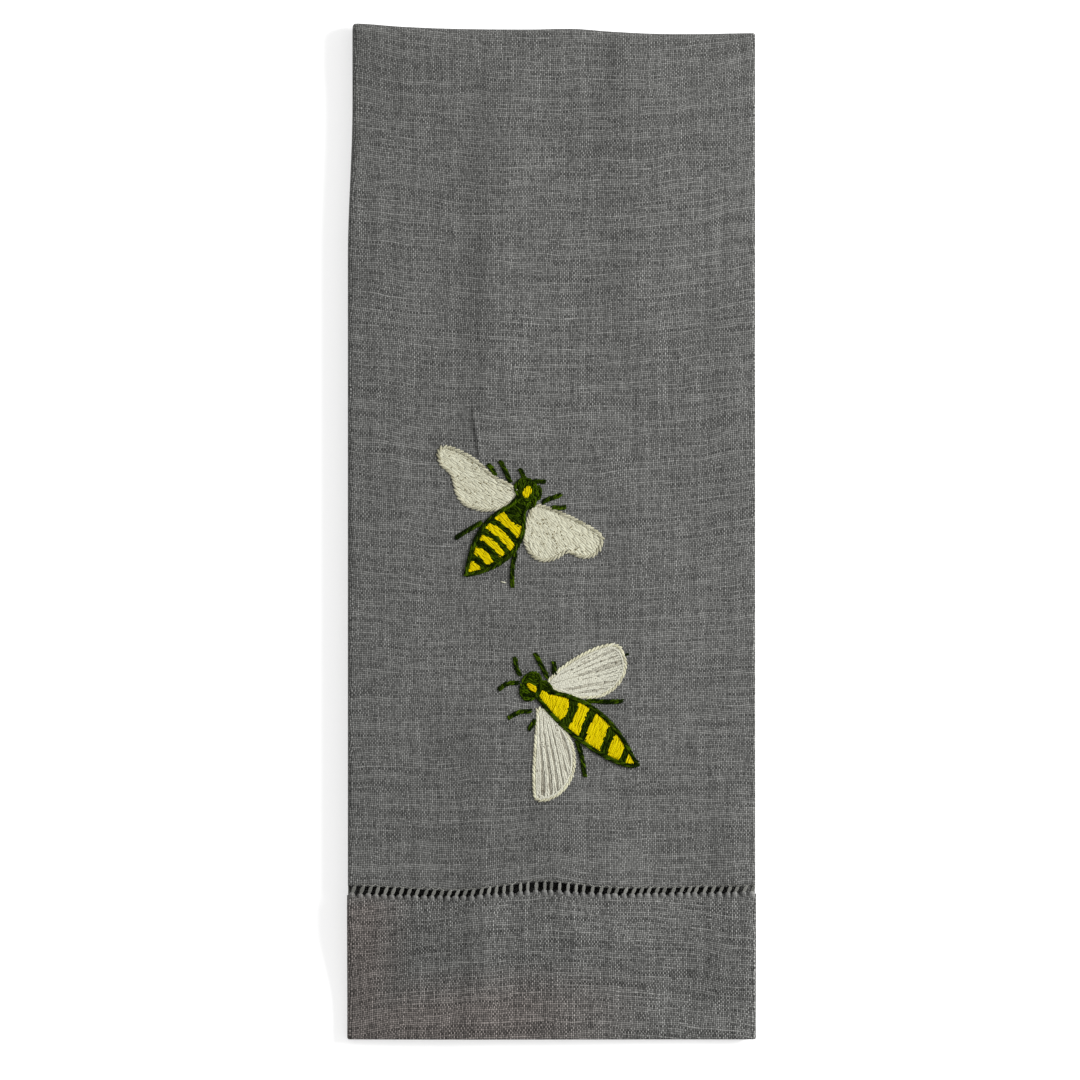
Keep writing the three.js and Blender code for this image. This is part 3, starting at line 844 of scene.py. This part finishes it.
LOWER_BEE = dict(
    name="bee_lower", at=(-6.1, -45.55, -36.6), slant=-0.26, head=(2.7, 4.2, 16.6), body=(1.5, 39.2),
    left=(6.45, 1.0, 0.92), right=(4.7, 0.6, 0.6), neck=(3.6, 2.2, 6.5), tail=(1.2, 0.4),
    bands=[
        (3.7, 5.2, 1.7, 0.7, 0.0, 0.0),
        (5.2, 6.5, 2.3, 0.7, 0.0, 0.0),
        (6.5, 12.0, 1.3, 1.0, 0.0, 1.2),
        (15.3, 18.9, 0.7, 0.9, 0.2, 0.0),
        (21.4, 26.6, 1.3, 1.0, -0.4, -0.3),
        (29.2, 33.1, 1.4, 1.2, -0.2, 0.0),
        (35.1, 37.4, 0.8, 0.9, 0.0, 0.0),
    ],
    knobs=[(-1.7, -45.5, -40, 2.1, 1.0)],
    wings=[
        dict(
            name="wing_upper", at=(-1.8, -44.9, 19.3), length=24.8,
            left=(5.4, 0.7, 0.26), right=(9.0, 0.85, 0.6),
            stitch=22, fan=18, braided=True, shade=0.08,
        ),
        dict(
            name="wing_lower", at=(-4.1, -51.4, -88.6), length=28.7,
            left=(10.8, 0.75, 0.58), right=(2.1, 0.9, 0.2),
            stitch=-82, fan=12, braided=True, shade=-0.08,
        ),
    ],
    face=(-5.6, -45.9, -35, 2.0, 0.85),
    legs=[
        [(-9.0, -42.7), (-10.4, -40.2), (-10.7, -36.8)], [(-9.4, -44.6), (-12.6, -44.4), (-15.8, -46.6)],
        [(-1.0, -43.4), (-3.0, -39.4), (-4.9, -35.6)], [(0.8, -42.6), (0.9, -40.4), (0.6, -38.1)],
        [(-5.6, -52.8), (-9.6, -53.0), (-12.9, -55.0)], [(-4.6, -55.2), (-5.6, -56.8), (-6.9, -58.6)],
        [(10.0, -49.6), (15.6, -50.1), (21.2, -49.9)], [(7.3, -61.2), (8.6, -65.0), (9.8, -72.4)],
        [(21.9, -35.9), (22.2, -36.5)],
    ],
)


# The narrowest stripe between two bands that is worked, and how far one reaches under a band
LEAST_STRIPE = 0.7
UNDER_BAND = 0.25


def body_half(bee, side, a):
    start, end = bee["body"]
    *necks, neck_end = bee["neck"]
    i = 0 if side == "left" else 1
    reach = blade(bee[side], (a - start) / (end - start))
    return np.maximum(np.where(a < neck_end, necks[i], bee["tail"][i]), reach)


def body_part(bee, first, last, trim_left, trim_right, bows=(0.0, 0.0)):
    """The outline of the body between two places on its axis, trimmed in from its sides."""
    a = np.linspace(first, last, 24)
    left = np.maximum(body_half(bee, "left", a) - trim_left, 0.05)
    right = np.maximum(body_half(bee, "right", a) - trim_right, 0.05)
    return area_along(*bee["at"], a, left, right, bee["slant"], bows)


def oval(x, y, heading, long_half, wide_half):
    a = round_stations(-long_half, long_half)
    half = bow_out(a, long_half, wide_half)
    return area_along(x, y, heading, a, half, half)


def wing_shape(wing, trim=0.0):
    a = round_stations(trim, wing["length"] - trim, 60)
    half = {side: blade(wing[side], a / wing["length"]) for side in ("left", "right")}
    if "hind" in wing:
        middle, reach, width = wing["hind"]
        half["right"] = np.maximum(half["right"], bow_out(a - middle, reach, width))
    for side, at, spread, depth in wing.get("dips", []):
        half[side] = half[side] - depth * np.exp(-(((a - at) / spread) ** 2))
    left, right = np.maximum(half["left"] - trim, 0.05), np.maximum(half["right"] - trim, 0.05)
    return area_along(*wing["at"], a, left, right)


def work_wing(bee, wing, thread, edge):
    name = f"{bee['name']}_{wing['name']}"
    stitches, outline = Stitches(name + "_thread", thread), Stitches(name + "_edge", edge)
    heading, fan, shade = wing["stitch"], wing["fan"], wing["shade"]
    fill(wing_shape(wing, 0.3), stitches, heading, WING_GROUND, fan, shade)
    inner = wing_shape(wing, 0.6)
    if wing["braided"]:
        fill(inner, stitches, heading, WING_UNDER_BRAIDS, fan, shade)
        x, y, turn = wing["at"]
        apex = np.array([x, y]) - BRAID_APEX * toward(math.radians(turn))
        braids(inner, stitches, apex, turn, shade)
        border(wing_shape(wing, 1.2), stitches, BRAIDED_WING_RIM)
        needle_hole_shade(inner, stitches, 40, 0.24)
    else:
        fill(inner, stitches, heading, WING_SATIN, fan)
        fill(inner, stitches, heading + 5, WING_TOP_SATIN, fan)
        needle_hole_shade(inner, stitches, 90, 0.2)
    border(wing_shape(wing, 0.45), outline, BRAIDED_WING_EDGE if wing["braided"] else SATIN_WING_EDGE)
    return [stitches.build(), outline.build()]


def work_body(bee, green, yellow):
    x, y, heading = bee["at"]
    across = heading - 90 + math.degrees(math.atan(-bee["slant"]))
    dark = Stitches(f"{bee['name']}_dark_thread", green)
    bright = Stitches(f"{bee['name']}_bands_thread", yellow)
    along_head, across_head, turn = bee["head"]
    head = oval(x, y, heading + turn, along_head, across_head)
    for lobe in [head] + [oval(*knob) for knob in bee["knobs"]]:
        fill(lobe, dark, heading + 60, LOBE_GROUND)
        fill(lobe, dark, heading + 30, LOBE_TOP)
        border(lobe, dark, LOBE_RIM, 0.25)
    end = bee["body"][1]
    fill(body_part(bee, along_head - 0.6, end, 0.3, 0.3), dark, across, BODY_GROUND)
    start, bow = along_head, 0.0
    for first, last, trim_left, trim_right, near_bow, far_bow in bee["bands"]:
        if first - start > LEAST_STRIPE:
            stripe = body_part(bee, start, first + UNDER_BAND, 0.5, 0.5, (bow, near_bow))
            fill(stripe, dark, across + 15, STRIPE)
        band = body_part(bee, first, last, trim_left, trim_right, (near_bow, far_bow))
        fill(band, bright, across, BAND)
        start, bow = last - UNDER_BAND, far_bow
    fill(body_part(bee, start, end, 0.4, 0.4, (bow, 0.0)), dark, across, TAIL)
    for inset in (0.35, 0.85):
        border(body_part(bee, along_head - 0.4, end, inset, inset), dark, BODY_RIM)
    fill(oval(*bee["face"]), bright, bee["face"][2] + 10, FACE_PATCH)
    for leg in bee["legs"]:
        for inset in (-0.3, 0.3):
            stem_line(dark, leg, LEG, inset)
    return [dark.build(), bright.build()]


def loose_end(thread):
    """A short end of the wing thread that shows by the upper bee's tail."""
    end = Stitches("loose_thread", thread)
    end.add(-15.0, -14.8, -13.4, -15.2, 0.4, 0.35, 0.0, 0.9)
    return end.build()


# Hemstitch
BUNDLE_PITCH = 2.33
BUNDLE_SIDES = 5
BUNDLE_RINGS = 9
BUNDLE_SHIFT = 0.11
BUNDLE_STRAY = 0.1
BUNDLE_COUNT = int((RIGHT_X - LEFT_X) / BUNDLE_PITCH)
BUNDLE_SPACE = (RIGHT_X - LEFT_X) / BUNDLE_COUNT
BUNDLE_PLACES = [
    LEFT_X + (k - BUNDLE_SHIFT) * BUNDLE_SPACE + float(draw.normal(0, BUNDLE_STRAY))
    for k in range(BUNDLE_COUNT + 1)
]
# Single threads where the line goes round the two side folds: x, and how many layers down
FOLD_THREADS = [(LEFT_X - PITCH, 1.0), (LEFT_X - 0.9 * PITCH, 1.4), (LEFT_X - 0.7 * PITCH, 1.75)]
FOLD_THREADS += [(RIGHT_X + 0.4 * PITCH, 1 + 0.3 * k) for k in range(6)]
FRONT_STRANDS = (-1.5, -0.5, 0.5, 1.5)
HIDDEN_STRANDS = (-1.2, 1.2)
STRAND_RADIUS = 0.15
HIDDEN_RADIUS = 0.22
# How far a bundle reaches under the hem and under the cloth above, arches up and lies sunk
UNDER_HEM = 0.3
UNDER_CLOTH = 0.45
BUNDLE_ARCH = 0.2
BUNDLE_SINK = 0.06
# Where the hemstitch's middle stretch begins and ends, each over a short run. There the bundles
# are thin and upright. Each pair is a size at the sides and the same in the middle.
MIDDLE_START = (-26, -10)
MIDDLE_END = (18, 6)
LEANS = (0.95, 0.15)
SPREADS = (0.21, 0.16)
PAD_HALVES = (0.98, 0.86)


def in_middle(x):
    return float(smooth(*MIDDLE_START, x) * smooth(*MIDDLE_END, x))


def bundle_lean(x):
    """How far a bundle's top lies to the right of its foot."""
    return min(mix(*LEANS, in_middle(x)), HALF_WIDTH - 0.7 - x)


def hemstitch_bundles(material):
    """The warp threads left in the drawn-thread line, caught together in bundles. Each is four
    threads, tied at both ends and spread in the middle. The hidden layers have theirs below."""
    tubes, tones = [], []
    t = np.linspace(1, 0, BUNDLE_RINGS)
    angle = 2 * math.pi * np.arange(BUNDLE_SIDES) / BUNDLE_SIDES
    bundles = [(x, 0.0, bundle_lean(x), FRONT_STRANDS) for x in BUNDLE_PLACES]
    bundles += [(x, depth, 0.0, (0.0,)) for x, depth in FOLD_THREADS]
    for depth in (1.0, 2.0):
        for x in BUNDLE_PLACES:
            bundles.append((x + draw.uniform(-0.25, 0.25), depth, bundle_lean(x), HIDDEN_STRANDS))
    for x, depth, lean, strands in bundles:
        spread = mix(*SPREADS, in_middle(x)) * np.sin(math.pi * t) ** 0.9 + 0.05
        top = x + lean + draw.normal(0, 0.06)
        low, high = face_point(x, LADDER_LOW - UNDER_HEM), face_point(top, LADDER_HIGH + UNDER_CLOTH)
        # Bundles down in the hidden layers, and the threads round the side folds, are given a dark tone:
        # painted shade, as they lie down in the stack under the layers above
        tone = tone_around(0.38 if depth == 0 else 0.1, 0.15)
        for strand in strands:
            centre = low + (high - low) * t[:, None]
            centre[:, 0] += strand * spread
            centre[:, 2] += BUNDLE_ARCH * np.sin(math.pi * t) - BUNDLE_SINK - depth * PITCH
            radius = STRAND_RADIUS if depth == 0 else HIDDEN_RADIUS
            ring = np.repeat(centre[:, None, :], BUNDLE_SIDES, axis=1)
            ring[..., 0] += radius * np.cos(angle)
            ring[..., 2] += radius * np.sin(angle)
            tubes.append(ring)
            tones.append(tone)
    return tube_mesh("hemstitch_bundles", np.array(tubes), t * LADDER_WIDTH, tones, material)


PAD_ROWS = 8
PAD_COLUMNS = 9
PAD_CROWN = 0.7
PAD_LENGTHS = (1.6, 2.0)
PAD_WIDTHS = (0.88, 1.06)
# How far a pad reaches over the hem's edge, and the share of its length that is its round top
PAD_REACH = 0.25
PAD_TOP = 0.42


def hemstitch_pads(material):
    """The hem's top edge, drawn up by each tie into a small domed pad under its bundle. Its tone
    says how much paler it is painted: painted light on the raised pad, and less painted shade
    between its tightly drawn threads."""
    pads = []
    down = np.linspace(0, 1, PAD_ROWS)[:, None]
    side = np.linspace(1, -1, PAD_COLUMNS)[None, :]
    for x in BUNDLE_PLACES:
        half = mix(*PAD_HALVES, in_middle(x)) * draw.uniform(*PAD_WIDTHS)
        long = draw.uniform(*PAD_LENGTHS)
        top = PAD_REACH + draw.normal(0, 0.06)
        round_top = bow_out(1 - np.clip(down / PAD_TOP, 0, 1), 1, 1)
        wide = half * (0.12 + 0.88 * round_top) * (1 - 0.12 * down)
        px = np.clip(x - 0.1 + side * wide + 0 * down, 0.3 - HALF_WIDTH, HALF_WIDTH - 0.3)
        py = LADDER_LOW + top - long * down + 0 * side
        crown = bow_out(side, 1, 1) * round_top * smooth(1.1, 0.35, down)
        base = face_point(px, np.minimum(py, LADDER_LOW - 1.0))
        upper = np.stack([px, py + along(LADDER_LINE, px), base[..., 2] + PAD_CROWN * crown - 0.06], -1)
        lower = upper.copy()
        lower[..., 2] = base[..., 2] - 0.35
        weave = np.stack([RIGHT_THIRD + RIGHT_TURN + RIGHT_X - px, py - NEAR_EDGE], -1)
        pads.append(((lower, upper), weave, tone_around(0.6, 0.2)))
    return sheet_mesh("hemstitch_pads", pads, material)


def hemstitch_thread(material):
    """The sewing thread: a zigzag along the hole's upper edge, and a tie round each pad's top."""
    sewing = Stitches("hemstitch_thread", material)
    for x, after in zip(BUNDLE_PLACES, BUNDLE_PLACES[1:] + [HALF_WIDTH - 1.5]):
        lean = bundle_lean(x)
        low, high = LADDER_HIGH + 0.05, LADDER_HIGH + draw.uniform(0.45, 0.9)
        middle = (x + after) / 2 + lean + draw.normal(0, 0.12)
        foot, head = LADDER_LOW, x + lean
        sewing.add(head, low, middle, high, 0.3, 0.2, 0.0, tone_around(0.35, 0.25))
        sewing.add(middle, high, after + lean, low, 0.3, 0.2, 0.0, tone_around(0.35, 0.25))
        sewing.add(head - 0.3, low + 0.1, head + 0.3, low + 0.1, 0.4, 0.4, 0.05, tone_around(0.6, 0.25))
        sewing.add(x - 0.35, foot + 0.1, x + 0.3, foot - 0.1, 0.3, 0.45, 0.1, tone_around(0.7, 0.2))
    return sewing.build()


# The scene
VIEW_X = -3.4
VIEW_Y = -2.64
VIEW_SPAN = 316.4
FACE_HEIGHT = 8.0
LENS = 300.0
SENSOR = 36.0
# In metres
FLOOR_HALF = 3.0


def place_camera():
    """Straight above the towel, as the photograph is taken."""
    lens = bpy.data.cameras.new("camera")
    lens.lens = LENS
    lens.sensor_width = SENSOR
    lens.clip_start = 0.01
    camera = new_object("camera", lens)
    distance = VIEW_SPAN * LENS / SENSOR + FACE_HEIGHT
    camera.location = (VIEW_X * MM, VIEW_Y * MM, distance * MM)
    bpy.context.scene.camera = camera


def pale_floor():
    """White seamless paper on a light table: matt, bright and plain, with faint shadows."""
    material, add = new_material("seamless paper, matt white")
    finish = {"Base Color": linear("F6F6F6"), "Roughness": 0.9, "Emission Color": linear("FFFFFF")}
    add("OutputMaterial", {"Surface": add("BsdfPrincipled", finish | {"Emission Strength": 0.5})})
    mesh = bpy.data.meshes.new("floor")
    corners = np.array([(-1, -1, 0), (1, -1, 0), (1, 1, 0), (-1, 1, 0)]) * FLOOR_HALF
    mesh.from_pydata(corners.tolist(), [], [(0, 1, 2, 3)])
    mesh.materials.append(material)
    new_object("floor", mesh)


def soft_light(name, place, size, power):
    """A square soft box that looks at the towel."""
    lamp = bpy.data.lights.new(name, "AREA")
    lamp.shape = "SQUARE"
    lamp.size = size
    lamp.energy = power
    box = new_object(name, lamp)
    box.location = place
    back = np.array(place) / np.linalg.norm(place)
    box.rotation_euler = (math.acos(back[2]), 0, math.atan2(back[1], back[0]) + math.pi / 2)


def studio():
    world = bpy.data.worlds.new("studio")
    bpy.context.scene.world = world
    world.use_nodes = True
    background = world.node_tree.nodes["Background"].inputs
    background["Color"].default_value = (1, 1, 1, 1)
    background["Strength"].default_value = 0.5
    soft_light("key", (0.85, 0.2, 0.52), 0.45, 15.0)
    bpy.context.scene.view_settings.view_transform = "Standard"


linen = woven_linen()
cream = twisted_thread("stranded cotton, cream, satin stitched", "CBCAB5", "7C7355", sheen=0.05)
ivory = twisted_thread("stranded cotton, ivory, braid stitched", "CDCCBC", "726A59", sheen=0.05)
beige_edge = twisted_thread("stranded cotton, beige, stem stitched", "BFBCA5", "6E6A52", sheen=0.05)
straw_edge = twisted_thread("stranded cotton, straw, stem stitched", "D5D3B8", "96917A", sheen=0.05)
yellow = twisted_thread("stranded cotton, yellow, satin stitched", "D4C300", "BCA300", 0.5, gloss=0.03)
green = twisted_thread("stranded cotton, dark green, stem stitched", "3C5202", "081300", gloss=0.02)
hem_thread = twisted_thread("linen sewing thread, grey, hemstitched", "9A9A94", "5A5A56", 0.85)

place_camera()
pale_floor()
studio()

cloth = cloth_mesh(linen)
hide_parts("towel_cloth")
sewn = [
    hemstitch_bundles(hem_thread),
    hemstitch_pads(linen),
    hemstitch_thread(hem_thread),
    loose_end(cream),
]
for bee, *wing_threads in ((UPPER_BEE, cream, beige_edge), (LOWER_BEE, ivory, straw_edge)):
    nodes = [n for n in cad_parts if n.startswith(bee["name"])]
    dark, bright = work_body(bee, green, yellow)
    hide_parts(*[n for n in nodes if "band" not in n and "wing" not in n])
    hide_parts(*[n for n in nodes if "band" in n])
    sewn += [dark, bright]
    for wing in bee["wings"]:
        filled, edge = work_wing(bee, wing, *wing_threads)
        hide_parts(f"{bee['name']}_{wing['name']}")
        sewn += [filled, edge]
